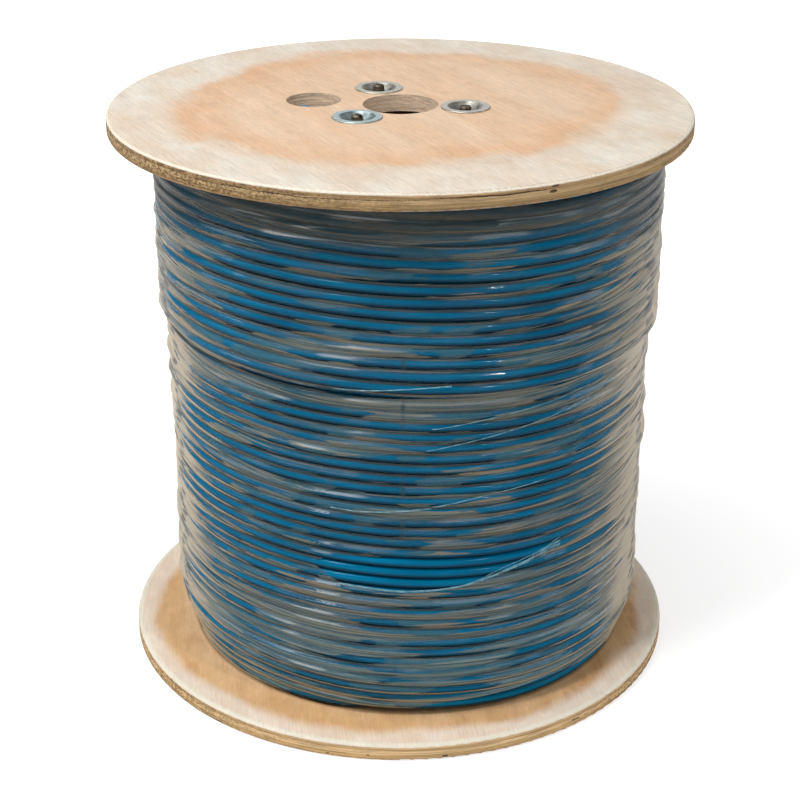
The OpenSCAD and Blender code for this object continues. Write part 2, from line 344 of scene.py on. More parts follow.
def veneer(tree, sheet, grain, flat, axis, radius):
    """Outer face: a warm heart with stains, in a pale weathered ring. The border between them is
    ragged, in shreds of 60 mm and blots of 200 mm. The stains grow towards +X, there partly as
    painted shade."""
    band = put(tree, NOISE, sized(tree, grain, 220, 26, 26))
    band = put(tree, SMOOTH, [band, 0.35, 0.7])
    ragged = put(tree, NOISE, sized(tree, grain, 60, 35, 60, 5.0, 0.6))
    blot = put(tree, NOISE, {"Vector": flat, "Scale": 5.0, "Detail": 2.0})
    reach = put(tree, TIMES_PLUS, [ragged, sheet.ragged, radius])
    reach = put(tree, TIMES_PLUS, [blot, 1.5 * sheet.ragged, reach])
    reach = put(tree, MINUS, [reach, 1.25 * sheet.ragged + sheet.ring_r])
    outside = put(tree, SMOOTH, [reach, -sheet.border, sheet.border])
    border = put(tree, SMOOTH, [reach, -45 * MM, -5 * MM])
    aged = put(tree, TIMES_PLUS, [band, 0.4, put(tree, TIMES, [border, 0.5])])
    heart = put(tree, BLEND, [aged, *sheet.heart])
    stain = put(tree, NOISE, sized(tree, grain, 30, 14, 14, 4.0, 0.65))
    stain = put(tree, SMOOTH, [stain, 0.42, 0.68, 0, sheet.stains])
    # Stains grow towards +X: real reddish stains, strengthened there as painted shade
    stain = put(tree, TIMES, [stain, put(tree, RANGE, [axis["X"], 80 * MM, 160 * MM, 1.0, 2.3])])
    heart = put(tree, BLEND, [stain, heart, "C98F62"])
    ring = put(tree, BLEND, [put(tree, RANGE, [ragged, 0.35, 0.65]), *sheet.ring])
    return put(tree, BLEND, [outside, heart, ring])


def sawn_edge(tree, sheet, grain, depth, rough_end, inside):
    """Edge: each ply its own tone, glue lines between them, end grain darker, hole walls painted
    pale as painted light inside the holes, and the whole edge painted lighter by a sheet's factor,
    as painted light
    """
    edge = put(tree, RAMP, [depth], stops=tuple(zip((0.0, *PLY_ENDS), PLY_TONES)))
    edge.color_ramp.interpolation = "CONSTANT"
    edge = put(tree, BLEND, [put(tree, TIMES, [rough_end, 0.85]), edge, "6A4E30"])
    lines = [(end + side * GLUE_W, tone) for end in PLY_ENDS
             for side, tone in ((-1, "000000"), (0, "FFFFFF"), (1, "000000"))]
    glue = put(tree, RAMP, [depth], stops=[(0.0, "000000")] + lines)
    glued = put(tree, TIMES, [glue.outputs["Color"], 0.45])
    edge = put(tree, BLEND, [glued, edge, "5E4326"])
    # Painted light: the hole walls are lightened in place of light inside the holes
    edge = put(tree, BLEND, [put(tree, TIMES, [inside, 0.75]), edge, "F2DAC0"])
    line = put(tree, NOISE, sized(tree, grain, 120, 9, 0.6))
    line = put(tree, RANGE, [line, 0.35, 0.6, 0.62, 1.08])
    # Painted light: each sheet's factor brightens its whole edge, most on the bottom flange
    line = put(tree, TIMES, [line, sheet.edge_light])
    return put(tree, SCALED, [edge, line])


def flawed(tree, sheet, edge, axis, wave, speck, inside):
    """Cracks and knots in the rim: degrees from the front, mm deep, and half of each size"""
    around_rim = put(tree, ARCTAN2, [axis["X"], put(tree, TIMES, [axis["Y"], -1.0])])
    under_top = put(tree, MINUS, [sheet.top_z, axis["Z"]])
    for degrees, deep, half_wide, half_high in sheet.flaws:
        across = put(tree, MINUS, [around_rim, math.radians(degrees)])
        across = put(tree, DIVIDED, [across, math.radians(half_wide)])
        down = put(tree, MINUS, [under_top, deep * MM])
        down = put(tree, TIMES_PLUS, [wave, 4 * MM, down])
        down = put(tree, MINUS, [down, 2 * MM])
        down = put(tree, DIVIDED, [down, half_high * MM])
        far = put(tree, LENGTH, [put(tree, JOIN, [across, down])]).outputs["Value"]
        far = put(tree, TIMES_PLUS, [speck, 1.6, far])
        dark = put(tree, RANGE, [far, 1.65, 1.9, 0.9, 0.0])
        dark = put(tree, TIMES, [dark, put(tree, MINUS, [1.0, inside])])
        edge = put(tree, BLEND, [dark, edge, "3A291A"])
    return edge


def wood_light(tree, fuzz, grain, streak):
    """How light the wood is: 1 mm streaks, 0.8 mm pores and broad patches, long in the grain"""
    pore = put(tree, NOISE, sized(tree, grain, 8, 0.8, 0.8, 2.0))
    pore = put(tree, RANGE, [pore, 0.3, 0.7, -0.5, 0.5])
    light = put(tree, RANGE, [streak, 0.3, 0.7, 1 - 0.75 * fuzz, 1 + 0.44 * fuzz])
    mottle = put(tree, NOISE, sized(tree, grain, 22, 11, 11))
    mottle = put(tree, RANGE, [mottle, 0.3, 0.7, 0.95, 1.05])
    light = put(tree, TIMES, [light, mottle])
    return put(tree, TIMES_PLUS, [pore, fuzz, light])


def plywood(name, sheet):
    """Rotary-cut five-ply sheet, sawn round and sanded: long fine pores and streaks along each
    ply's grain, end grain and glue lines in turn on the edge, a paler weathered ring outside"""
    material, tree, place = new_material(name)
    normal = put(tree, "ShaderNodeNewGeometry").outputs["Normal"]
    axis = put(tree, SPLIT, [place]).outputs
    flat = put(tree, JOIN, [axis["X"], axis["Y"]])
    radius = put(tree, LENGTH, [flat]).outputs["Value"]
    wave, depth, grain, end = plies(tree, sheet, place, normal, axis["Z"])
    streak = put(tree, NOISE, sized(tree, grain, 34, 1.3, 1.3, 4.0, 0.65))
    speck = put(tree, NOISE, sized(tree, place, 2.4, 2.4, 1.5, 3.0, 0.75))
    rough_end = put(tree, TIMES, [put(tree, RANGE, [speck, 0.43, 0.53, 1.0, 0.0]),
                                  put(tree, RANGE, [end, 0.1, 0.75])])
    inside = put(tree, RANGE, [radius, 120 * MM, 110 * MM])
    edge = sawn_edge(tree, sheet, grain, depth, rough_end, inside)
    edge = flawed(tree, sheet, edge, axis, wave, speck, inside)
    face = veneer(tree, sheet, grain, flat, axis, radius)

    # Painted contact shadow round the winding's foot, and the pale rounded bead between face and
    # edge:
    # sanded wood, painted lighter along the rounding as a painted highlight
    off_axis = put(tree, VECTOR, [flat, (SHIFT, 0.0, 0.0)], operation="DISTANCE")
    beside = apart(tree, off_axis.outputs["Value"], sheet.foot_r)
    # Painted shade: a dark ring where the winding stands on the bottom flange
    soil = put(tree, SMOOTH, [beside, 0.5 * MM, 3 * MM, 0.5, 0.0])
    face = put(tree, BLEND, [soil, face, "4A3320"])
    bead_r = FLANGE_R - sheet.bead_w
    # Painted highlight along the rounded bead, over the paler sanded wood
    worn = put(tree, RANGE, [radius, bead_r, bead_r + 1.2 * MM])
    bead = put(tree, RANGE, [depth, 0.1, 0.16, 1.0, 0.0])
    edge = put(tree, BLEND, [put(tree, TIMES, [bead, worn]), edge, "F4EAD8"])
    up = put(tree, UNSIGNED, [put(tree, SPLIT, [normal]).outputs["Z"]])
    faced = put(tree, TIMES, [put(tree, RANGE, [up, 0.4, 0.6]), put(tree, MINUS, [1.0, worn])])
    wood = put(tree, BLEND, [faced, edge, face])

    shade = put(tree, SCALED, [wood, wood_light(tree, sheet.fuzz, grain, streak)])
    level = put(tree, TIMES_PLUS, [rough_end, -0.8, streak])
    bump = put(tree, BUMP, {"Height": level, "Strength": 0.5, "Distance": 0.25 * MM})
    surface = put(tree, PRINCIPLED, {
        "Base Color": shade, "Normal": bump, "IOR": 1.5, "Specular IOR Level": 0.25,
        "Roughness": put(tree, RANGE, [streak, 0, 1, 0.62, 0.8])})
    put(tree, OUTPUT, {"Surface": surface})
    return material


def kraft_paper():
    """Spiral-wound kraft paper tube: matt, with 3 mm flecks of pulp and a seam every 70 mm up its
    outside and inside"""
    material, tree, place = new_material("spiral_wound_kraft_paper")
    axis = put(tree, SPLIT, [place]).outputs
    angle = put(tree, ARCTAN2, [axis["Y"], axis["X"]])
    lay = put(tree, TIMES_PLUS, [axis["Z"], 1 / (70 * MM), put(tree, TIMES, [angle, 1 / TURN])])
    seam = apart(tree, put(tree, FRACTION, [lay]), 0.5)
    seam = put(tree, RANGE, [seam, 0, 0.012, 1.0, 0.0])
    pulp = put(tree, NOISE, {"Vector": place, "Scale": 350.0, "Detail": 4.0})
    tone = put(tree, BLEND, [pulp, "8E6F4C", "B08F68"])
    tone = put(tree, BLEND, [seam, tone, "5C452C"])
    bump = put(tree, BUMP, {"Height": pulp, "Strength": 0.3, "Distance": 0.2 * MM})
    surface = put(tree, PRINCIPLED, {
        "Base Color": tone, "Normal": bump, "Specular IOR Level": 0.2,
        "Roughness": put(tree, RANGE, [pulp, 0, 1, 0.7, 0.9])})
    put(tree, OUTPUT, {"Surface": surface})
    return material


def plated(name, bright, dull, rough, soiled_z=None):
    """Zinc-plated or rolled steel: a grey metal with soft 4 mm clouds in its plating or oxide and
    a 0.6 mm tooth from the press or the thread rollers, drawn coarser than it is, so that it
    shows. Below a given height the tone is painted darker, as painted shade down in the nuts'
    dishes."""
    material, tree, place = new_material(name)
    cloud = put(tree, NOISE, {"Vector": place, "Scale": 260.0, "Detail": 5.0, "Roughness": 0.6})
    fine = put(tree, NOISE, {"Vector": place, "Scale": 1800.0, "Detail": 2.0})
    tone = put(tree, BLEND, [put(tree, RANGE, [cloud, 0.35, 0.65]), dull, bright])
    # Painted shade: darker down in the nut's dish, below the given height
    if soiled_z:
        height = put(tree, SPLIT, [place]).outputs["Z"]
        soil = put(tree, RANGE, [height, soiled_z - 4.5 * MM, soiled_z, 0.62, 1.0])
        tone = put(tree, SCALED, [tone, soil])
    bump = put(tree, BUMP, {"Height": fine, "Strength": 0.15, "Distance": 0.05 * MM})
    surface = put(tree, PRINCIPLED, {
        "Base Color": tone, "Metallic": 1.0, "Normal": bump,
        "Roughness": put(tree, RANGE, [cloud, 0.3, 0.7, rough, rough + 0.18])})
    put(tree, OUTPUT, {"Surface": surface})
    return material


def cable_jacket():
    """Extruded PVC jacket: even blue, satin, with faint lengthwise draw marks. Its lower side is
    painted darker, as painted shade where the turns shade each other."""
    material, tree, place = new_material("extruded_pvc_jacket")
    drawn = put(tree, NOISE, sized(tree, place, 45, 45, 1.4))
    cloud = put(tree, NOISE, sized(tree, place, 60, 60, 30))
    tone = put(tree, BLEND, [put(tree, RANGE, [cloud, 0.3, 0.7]), "00668E", "007AA4"])
    normal = put(tree, "ShaderNodeNewGeometry").outputs["Normal"]
    facing = put(tree, SPLIT, [normal]).outputs["Z"]
    # Painted shade: the tone is darker where the surface faces down
    under = put(tree, SMOOTH, [facing, -0.6, 0.35, 0.2, 1.0])
    level = put(tree, TIMES, [put(tree, RANGE, [drawn, 0.3, 0.7, 0.82, 1.12]), under])
    tone = put(tree, SCALED, [tone, level])
    surface = put(tree, PRINCIPLED, {
        "Base Color": tone, "Specular IOR Level": 0.07,
        "Roughness": put(tree, RANGE, [drawn, 0.3, 0.7, 0.1, 0.16])})
    put(tree, OUTPUT, {"Surface": surface})
    return material


# Parts of a turn round the drum, with the front at 0.5: where film faces the key lamp and glints
# are painted, the painted glow round it and the kicker, and where the last lap's seam runs
KEY_PART = 0.445
GLOW_PART = 0.45
KICKER_PART = 0.56
SEAM_PART = 0.4965
GLINT = 4.5


def film_place(tree, place):
    """Where a point of film lies: part of the turn of cable under it, and how far down that turn,
    from groove 0 to groove 1, with patches of its own, 50 mm long, for each turn"""
    at = SimpleNamespace()
    for label, output in (("laid", "Vector"), ("turns", "Fac"), ("airy", "Fac"), ("pressed", "Fac")):
        setattr(at, label, put(tree, "ShaderNodeAttribute", attribute_name=label).outputs[output])
    at.axis = put(tree, SPLIT, [place]).outputs
    angle = put(tree, ARCTAN2, [at.axis["Y"], put(tree, MINUS, [at.axis["X"], SHIFT])])
    at.part = put(tree, FRACTION, [put(tree, TIMES_PLUS, [angle, 1 / TURN, -0.25])])
    lap = put(tree, MINUS, [put(tree, PLUS, [at.turns, 0.5]), at.part])
    at.down = put(tree, FRACTION, [lap])
    at.own = put(tree, TIMES, [put(tree, PLUS, [put(tree, FLOOR, [lap]), at.part]), 5.3])
    at.cut = put(tree, TURNED, {"Vector": at.laid, "Angle": put(tree, TIMES, [at.down, 0.05])})
    cling = put(tree, NOISE, {"Vector": put(tree, STRETCH, [at.cut, (19.0, 19.0, 0.0)]), "W": at.own,
                              "Scale": 1.0, "Detail": 3.0, "Roughness": 0.45}, noise_dimensions="4D")
    at.cling = put(tree, SPLIT, [cling.outputs["Color"]]).outputs
    return at


def film_streaks(tree, at):
    """Streaks in the film's laps: 1 mm fine ones and 3 mm shreds, both long. At a slant the laps
    look solid, and at the right the film is made paler by position, as painted reflection."""
    streak = put(tree, NOISE, sized(tree, at.laid, 90, 90, 0.9, 3.0, 0.6))
    at.streak = put(tree, SMOOTH, [streak, 0.32, 0.68])
    at.shred = put(tree, NOISE, sized(tree, at.laid, 110, 110, 3))
    graze = put(tree, "ShaderNodeLayerWeight", {"Blend": 0.5}).outputs["Facing"]
    graze = put(tree, SMOOTH, [graze, 0.46, 0.78])
    # Painted reflection: the film is made paler at the right, by position
    right = put(tree, RANGE, [at.axis["X"], 118 * MM, 155 * MM, 0, 0.65])
    right = put(tree, TIMES, [right, put(tree, RANGE, [at.axis["Z"], 70 * MM, 120 * MM, 0.2, 1.0])])
    at.graze = put(tree, MOST, [graze, right])
    at.beside = put(tree, RANGE, [put(tree, UNSIGNED, [at.axis["X"]]), 110 * MM, 150 * MM])
    high = put(tree, SMOOTH, [at.axis["Z"], 325 * MM, 362 * MM])
    at.corner = put(tree, TIMES, [high, at.beside])


def film_shine(tree, at):
    """Where film mirrors: sleek patches 80 mm long, painted glints where it faces the key lamp, a
    painted glow round them and a painted band of glints facing the kicker"""
    sleek = put(tree, NOISE, {"Vector": put(tree, STRETCH, [at.cut, (12.0, 12.0, 0.0)]),
                              "W": put(tree, PLUS, [at.own, 31.0]), "Scale": 1.0, "Detail": 2.0},
                noise_dimensions="4D")
    shining = put(tree, SMOOTH, [sleek, 0.495, 0.56, 0, GLINT])
    # Painted glints: the mirror is raised where the film faces the key lamp
    tight = put(tree, SMOOTH, [apart(tree, at.part, KEY_PART), 0.016, 0.045, 1.0, 0.0])
    shining = put(tree, TIMES, [shining, tight])
    at.shining = put(tree, TIMES, [shining, put(tree, RANGE, [at.down, 0.1, 0.2])])
    # Painted glints: a narrow band facing the kicker lamp
    right = put(tree, RANGE, [apart(tree, at.part, KICKER_PART), 0.004, 0.012, 1.0, 0.0])
    at.sleek = put(tree, MOST, [put(tree, SMOOTH, [sleek, 0.5, 0.58]), right])
    # Painted glow round the key lamp's glints
    at.glow = put(tree, SMOOTH, [apart(tree, at.part, GLOW_PART), 0.02, 0.09, 1.0, 0.0])
    polished = put(tree, MOST, [at.sleek, at.shining])
    at.polished = put(tree, MOST, [polished, put(tree, TIMES, [at.glow, 0.6])])


def film_veils(tree, at):
    """Grey veil on a turn, a beige band from some way down the turn to its groove, partly a painted
    reflection of the floor, solid laps at the sides, and painted shade under the top flange and in
    its corners"""
    veiled = put(tree, TIMES_PLUS, [at.airy, 0.35, at.cling["X"]])
    veiled = put(tree, SMOOTH, [veiled, 0.655, 0.68])
    veiled = put(tree, TIMES, [veiled, put(tree, RANGE, [at.streak, 0, 1, 0.34, 0.66])])
    wide = put(tree, PLUS, [at.cling["Y"], put(tree, TIMES_PLUS, [at.airy, 0.9, at.shred])])
    start = put(tree, MINUS, [at.down, put(tree, RANGE, [wide, 1.2, 1.6, 0.84, 0.0])])
    # The beige band is partly film over the groove, partly a painted reflection of the floor on the
    # turn's lower side
    at.band = put(tree, TIMES, [put(tree, SMOOTH, [start, 0, 0.1]),
                                put(tree, RANGE, [at.streak, 0, 1, 0.4, 0.9])])
    veil = put(tree, MOST, [put(tree, MOST, [veiled, at.band]), side_veil(tree, at)])
    # Painted shade: a dark veil under the top flange
    dusty = put(tree, SMOOTH, [at.axis["Z"], 352 * MM, 374 * MM, 0, 0.8])
    dusty = put(tree, TIMES, [dusty, put(tree, RANGE, [at.streak, 0, 1, 0.7])])
    at.dusty = put(tree, TIMES, [dusty, put(tree, RANGE, [at.beside, 0, 1, 1.0, 0.3])])
    veil = put(tree, MOST, [veil, at.dusty])
    # Painted shade in the top corners
    at.sooty = put(tree, TIMES, [at.corner, put(tree, RANGE, [at.streak, 0, 1, 0.5, 0.9])])
    return put(tree, MOST, [veil, at.sooty])


def side_veil(tree, at):
    """Veil of laps seen at a slant: little of it high up, least at the left"""
    side = put(tree, TIMES_PLUS, [at.streak, 0.3, put(tree, TIMES, [at.graze, 0.45])])
    side = put(tree, SMOOTH, [put(tree, PLUS, [side, at.cling["Z"]]), 0.8, 0.95, 0, 0.94])
    side = put(tree, TIMES, [side, put(tree, SMOOTH, [at.graze, 0.05, 0.6])])
    left = put(tree, RANGE, [at.axis["X"], 50 * MM, -50 * MM, 0.25, 0.85])
    high = put(tree, TIMES, [put(tree, RANGE, [at.axis["Z"], 240 * MM, 310 * MM]), left])
    side = put(tree, TIMES, [side, put(tree, MINUS, [1.0, high])])
    return put(tree, TIMES, [side, put(tree, RANGE, [at.axis["Z"], 325 * MM, 350 * MM, 1.0, 0.2])])


def film_darks(tree, at):
    """Dark lines: painted shade in the groove, seen through taut film, dashes where turns press
    through, and the seam
    """
    depth = put(tree, LEAST, [at.down, put(tree, MINUS, [1.0, at.down])])
    # Painted shade: a dark line along each groove
    groove = put(tree, SMOOTH, [depth, 0.05, 0.15, 1.0, 0.0])
    taut = put(tree, RANGE, [put(tree, PLUS, [at.shred, at.airy]), 0.85, 1.15, 0.8, 0.0])
    groove = put(tree, TIMES, [groove, taut])
    groove = put(tree, TIMES, [groove, put(tree, RANGE, [at.axis["Z"], 24 * MM, 34 * MM, 0.2, 1.0])])
    dash = put(tree, TIMES, [put(tree, RANGE, [depth, 0.2, 0.28, 0, 0.85]), at.pressed])
    seam = put(tree, RANGE, [apart(tree, at.part, SEAM_PART), 0.0006, 0.0018, 0.5, 0.0])
    seam = put(tree, TIMES, [seam, put(tree, RANGE, [at.cling["Z"], 0.5, 0.58])])
    kept = put(tree, RANGE, [apart(tree, at.axis["Z"], 220 * MM), 85 * MM, 75 * MM])
    seam = put(tree, TIMES, [seam, kept])
    return put(tree, MOST, [groove, put(tree, MOST, [dash, seam])])


def film_tone(tree, at, dark):
    """Tone of film that isn't clear: beige over grooves, partly painted reflection, grey on turns,
    pale at a slant, partly painted reflection, lighter blue-grey near the foot, partly a painted
    sheen, and painted shade under the top flange, in its corners and in the grooves
    """
    tint = put(tree, NOISE, sized(tree, at.laid, 90, 90, 5))
    beige = put(tree, RAMP, [tint], stops=(
        (0.36, "7C8882"), (0.46, "948F78"), (0.54, "A69272"), (0.66, "AA8E68")))
    beige = put(tree, BLEND, [put(tree, RANGE, [at.airy, 0.35, 0.6, 0, 0.75]), beige, "95907C"])
    # Near the foot the film turns lighter blue-grey, partly a painted sheen
    low = put(tree, RANGE, [at.axis["Z"], 85 * MM, 30 * MM, 0, 0.9])
    beige = put(tree, BLEND, [low, beige, "7A9AA0"])
    tone = put(tree, BLEND, [at.band, "4E7F8E", beige])
    # Painted reflection: pale beige where the film is seen at a slant and at the right
    pale = put(tree, BLEND, [tint, "B0AA90", "E0C6A6"])
    tone = put(tree, BLEND, [at.graze, tone, pale])
    # Painted shade under the top flange: a dark brown tone, and the tone darkened high up
    tone = put(tree, BLEND, [at.dusty, tone, "665C4C"])
    tone = put(tree, SCALED, [tone, put(tree, RANGE, [at.axis["Z"], 330 * MM, 385 * MM, 1.0, 0.55])])
    # Painted shade in the top corners
    tone = put(tree, BLEND, [at.sooty, tone, "2A3338"])
    # Painted shade: the groove lines
    return put(tree, BLEND, [dark, tone, "14282F"])


def film_mirror(tree, at):
    """Share of mirrored light: on the upper side of a turn, less in the top corners and at the
    left, and capped, so that the blue shows through"""
    mirror = put(tree, TIMES_PLUS, [at.sleek, 1.6, at.shining])
    mirror = put(tree, TIMES_PLUS, [at.glow, 0.35, mirror])
    crown = put(tree, SMOOTH, [at.down, 0.42, 0.3])
    mirror = put(tree, TIMES_PLUS, [mirror, crown, 0.1])
    mirror = put(tree, TIMES, [put(tree, "ShaderNodeFresnel", {"IOR": 1.45}), mirror])
    mirror = put(tree, TIMES, [mirror, put(tree, RANGE, [at.corner, 0, 1, 1.0, 0.2])])
    left = put(tree, RANGE, [at.axis["X"], -80 * MM, -140 * MM, 1.0, 0.3])
    mirror = put(tree, TIMES, [mirror, left])
    return put(tree, LEAST, [mirror, put(tree, RANGE, [at.shining, 0, GLINT, 0.22, 0.4])])


def stretch_film():
    """Clear cast polyethylene film in several laps. It clings along each turn of the cable in
    patches of its own: clear, or a grey veil. Where it spans a groove or holds air it is beige,
    partly a painted reflection of the floor, and at a slant its many laps look solid and pale,
    partly painted reflection. Painted shade darkens its grooves, the zone under the top flange and
    its corners.
    It mirrors lamps, with painted glints where it faces the key lamp."""
    material, tree, place = new_material("cast_polyethylene_stretch_film")
    at = film_place(tree, place)
    film_streaks(tree, at)
    film_shine(tree, at)
    veil = film_veils(tree, at)
    dark = film_darks(tree, at)
    veil = put(tree, LEAST, [put(tree, MOST, [veil, dark]), 0.94])
    ridge = put(tree, BUMP, {"Height": at.streak, "Distance": 0.12 * MM, "Strength": put(
        tree, RANGE, [at.polished, 0, 1, 0.6, 0.12])})
    haze = put(tree, PRINCIPLED, {"Base Color": film_tone(tree, at, dark), "Roughness": 0.35,
                                  "Specular IOR Level": 0.2, "Normal": ridge})
    see = put(tree, MIX_SHADERS, [veil, put(tree, CLEAR), haze])
    # Painted reflection: the gloss turns beige at a slant, standing in for beige surroundings
    gloss = put(tree, "ShaderNodeBsdfGlossy", {
        "Color": put(tree, BLEND, [at.graze, "F4F4F0", "C9B99C"]),
        "Roughness": put(tree, RANGE, [at.polished, 0, 1, 0.28, 0.08]), "Normal": ridge})
    film = put(tree, MIX_SHADERS, [film_mirror(tree, at), see, gloss])
    put(tree, OUTPUT, {"Surface": film})
    return material


def gathered_film():
    """The same film drawn into thin ropes: folds of 6 mm scatter the light, so they look white"""
    material, tree, place = new_material("gathered_stretch_film")
    fold = put(tree, NOISE, {"Vector": place, "Scale": 160.0, "Detail": 3.0})
    haze = put(tree, PRINCIPLED, {"Base Color": "A4DCEA", "Roughness": 0.2})
    share = put(tree, RANGE, [fold, 0.35, 0.65, 0.12, 0.6])
    mixed = put(tree, MIX_SHADERS, [share, put(tree, CLEAR), haze])
    put(tree, OUTPUT, {"Surface": mixed})
    return material


# --- Winding ---

def wind(name, tree, values):
    """One stretch of the cable, with the values that all its stretches share"""
    shared = {"Layers": 1, "Turns": FULL_TURNS, "Steps": 90, "Steps Short": 0, "Sides": 12,
              "Radius": FULL_R, "Layer Rise": 0.0, "First Height": FIRST_Z, "Pitch": FULL_PITCH,
              "Shift": SHIFT, "Crossing": CROSSING, "Evenness": 0.0, "Cable Radius": CABLE_R,
              "Foot Drop": 0.0, "Foot Turns": FOOT_TURNS, "Wander": 0.0,
              "Wander Height": 60 * MM, "Slack": 0.0, "Lowest": LAST_Z, "Tuck": 0.0}
    return grown(name, tree, {**shared, **values})


def wind_cable(tree, jacket):
    """The whole cable: hidden layers, the last full layer and the short one over it"""
    inner_r = CORE_R + CABLE_R
    six = {"Layers": 6, "Steps": 36, "Sides": 5, "Layer Rise": LAYER_RISE, "Material": jacket}
    foot = {"Foot Drop": FOOT_DROP, "Material": jacket}
    return (
        wind("cable_layers_1_to_6", tree, {**six, "Radius": inner_r, "Shift": 0.0}),
        wind("cable_layers_7_to_12", tree, {
            **six, **foot, "Radius": inner_r + 6 * LAYER_RISE, "Shift": 4 * MM}),
        wind("cable_layer_13", tree, {
            **foot, "Steps": 72, "Sides": 8, "Radius": FULL_R - LAYER_RISE,
            "Crossing": CROSSING / 2}),
        wind("cable_full_layer", tree, {
            **foot, "Turns": FULL_TURNS + 1, "Steps Short": 46, "Tuck": 6.5 * MM,
            "Wander": 2.2 * MM, "Slack": 1.6 * MM}),
        wind("cable_upper_turns", tree, {
            "Turns": UPPER_TURNS, "Radius": UPPER_R, "Pitch": UPPER_PITCH, "Wander": 3.2 * MM,
            "Wander Height": 22 * MM, "Slack": 2.2 * MM, "Material": jacket}))


def cut_thread(tree, rod, steel):
    """Ridge of a rod's rolled thread, where its end stands in the nut: it starts under the slot"""
    low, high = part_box(rod)
    radius = (high.x - low.x) / 2
    ridge = wind(rod.replace("tie_rod", "rod_thread"), tree, {
        "Turns": THREAD_TURNS, "Steps": 24, "Sides": 6, "Radius": radius - 0.1 * MM,
        "First Height": high.z - 2.4 * MM, "Pitch": THREAD_PITCH, "Shift": 0.0, "Evenness": 1.0,
        "Cable Radius": THREAD_PITCH / 4, "Lowest": 0.0, "Material": steel})
    ridge.data.transform(Matrix.Translation(((low.x + high.x) / 2, (low.y + high.y) / 2, 0.0)))
    return ridge


# --- Film ---

FILM_STEPS = 288
FILM_ROW = 0.5 * MM
FILM_CLEAR = 0.25 * MM
FILM_LOW = FLANGE_T + 0.3 * MM
FILM_HIGH = TOP_Z - 0.3 * MM
TIGHT_BALL = 2.6 * MM
SLACK_BALL = 90 * MM


def from_front(angles):
    """Degrees from the front, -180 to 180, more to the right"""
    return (np.degrees(angles) + 270) % 360 - 180


def ramped(values, start, width):
    """0 before a start and 1 a width further on. A negative width runs the other way."""
    return np.clip((values - start) / width, 0, 1)


def hump(values, middle, width):
    """1 at a middle, falling off softly at both sides"""
    return np.exp(-((values - middle) / width) ** 2)


def rolled(values, ball, sign):
    """Highest (sign 1) or lowest (sign -1) outline of balls of this radius set on the values"""
    reach = int(min(2 * ball, 13 * MM) / FILM_ROW)
    held = np.pad(values, ((0, 0), (reach, reach)), mode="edge")
    best = values.copy()
    for step in range(-reach, reach + 1):
        shifted = held[:, reach + step:reach + step + values.shape[1]]
        drop = (step * FILM_ROW) ** 2 / (2 * ball)
        best = np.maximum(best, shifted - drop) if sign > 0 else np.minimum(best, shifted + drop)
    return best


def closed(values, ball):
    """The outline that a ball feels when it rolls up the winding: it spans the grooves. values
    has one row for each angle and one column for each height."""
    return rolled(rolled(values, ball, 1), ball, -1)


def looseness(angles, heights):
    """Where the film holds air, about 0 to 1: long shreds along the turns, more of them near the
    foot, under the top flange and round the sides, none in the top corners"""
    field = np.zeros((len(angles), len(heights)))
    for i, angle in enumerate(angles):
        x, y = 1.7 * math.cos(angle), 1.7 * math.sin(angle)
        field[i] = [noise.fractal((x, y, z / (8 * MM)), 0.9, 2.0, 3) for z in heights]
    front = from_front(angles)
    side = ramped(np.abs(front), 36, 22) * np.where(front > 0, 0.28, 0.2)
    low = ramped(heights, 112 * MM, -20 * MM)
    top = ramped(heights, 352 * MM, 10 * MM)
    step = hump(heights, STEP_Z - 4 * MM, 5 * MM)
    last = hump(heights, STEP_Z + 5 * MM, 4 * MM)
    up = 0.22 * low + 0.55 * step - 0.6 * last + 0.3 * top
    corner = ramped(np.abs(front), 48, 10)[:, None] * ramped(heights, 335 * MM, 12 * MM)
    return np.clip(0.22 + 0.55 * field + side[:, None] + up[None, :] - 0.75 * corner, 0, 1)


def pressed(angles, heights):
    """Where turns press through loose film in short dashes, close inside both sides"""
    front = from_front(angles)[:, None]
    wobble = np.array([noise.fractal((0.0, 3.1, z / (14 * MM)), 0.8, 2.0, 3) for z in heights])
    middle = 75 - 7 * ramped(heights, STEP_Z, 8 * MM) + 4 * wobble
    right = np.abs(front - middle[None, :]) < 3
    left = np.abs(front + 71 - 5 * wobble[None, ::-1]) < 1.8
    return (right | left).astype(float)


def bulges(angles, heights):
    """Small folds that stand off the cable at both sides"""
    front = from_front(angles)
    near = ramped(np.abs(front), 66, 14) * ramped(np.abs(front), 120, -14)
    fold = np.array([[noise.fractal((0.03 * f, 7.7, z / (11 * MM)), 0.8, 2.0, 3) for z in heights]
                     for f in front])
    ends = ramped(heights, heights[0], 20 * MM)
    return 2.6 * MM * np.clip(fold, 0, 0.8) * near[:, None] * ends[None, :]


def crossed(angles):
    """Share of a turn passed at each angle from the back, and share of its crossing"""
    part = ((angles - QUARTER) / TURN) % 1.0
    share = np.clip((part - 0.5) * TURN / CROSSING + 0.5, 0, 1)
    return part, share * share * (3 - 2 * share)


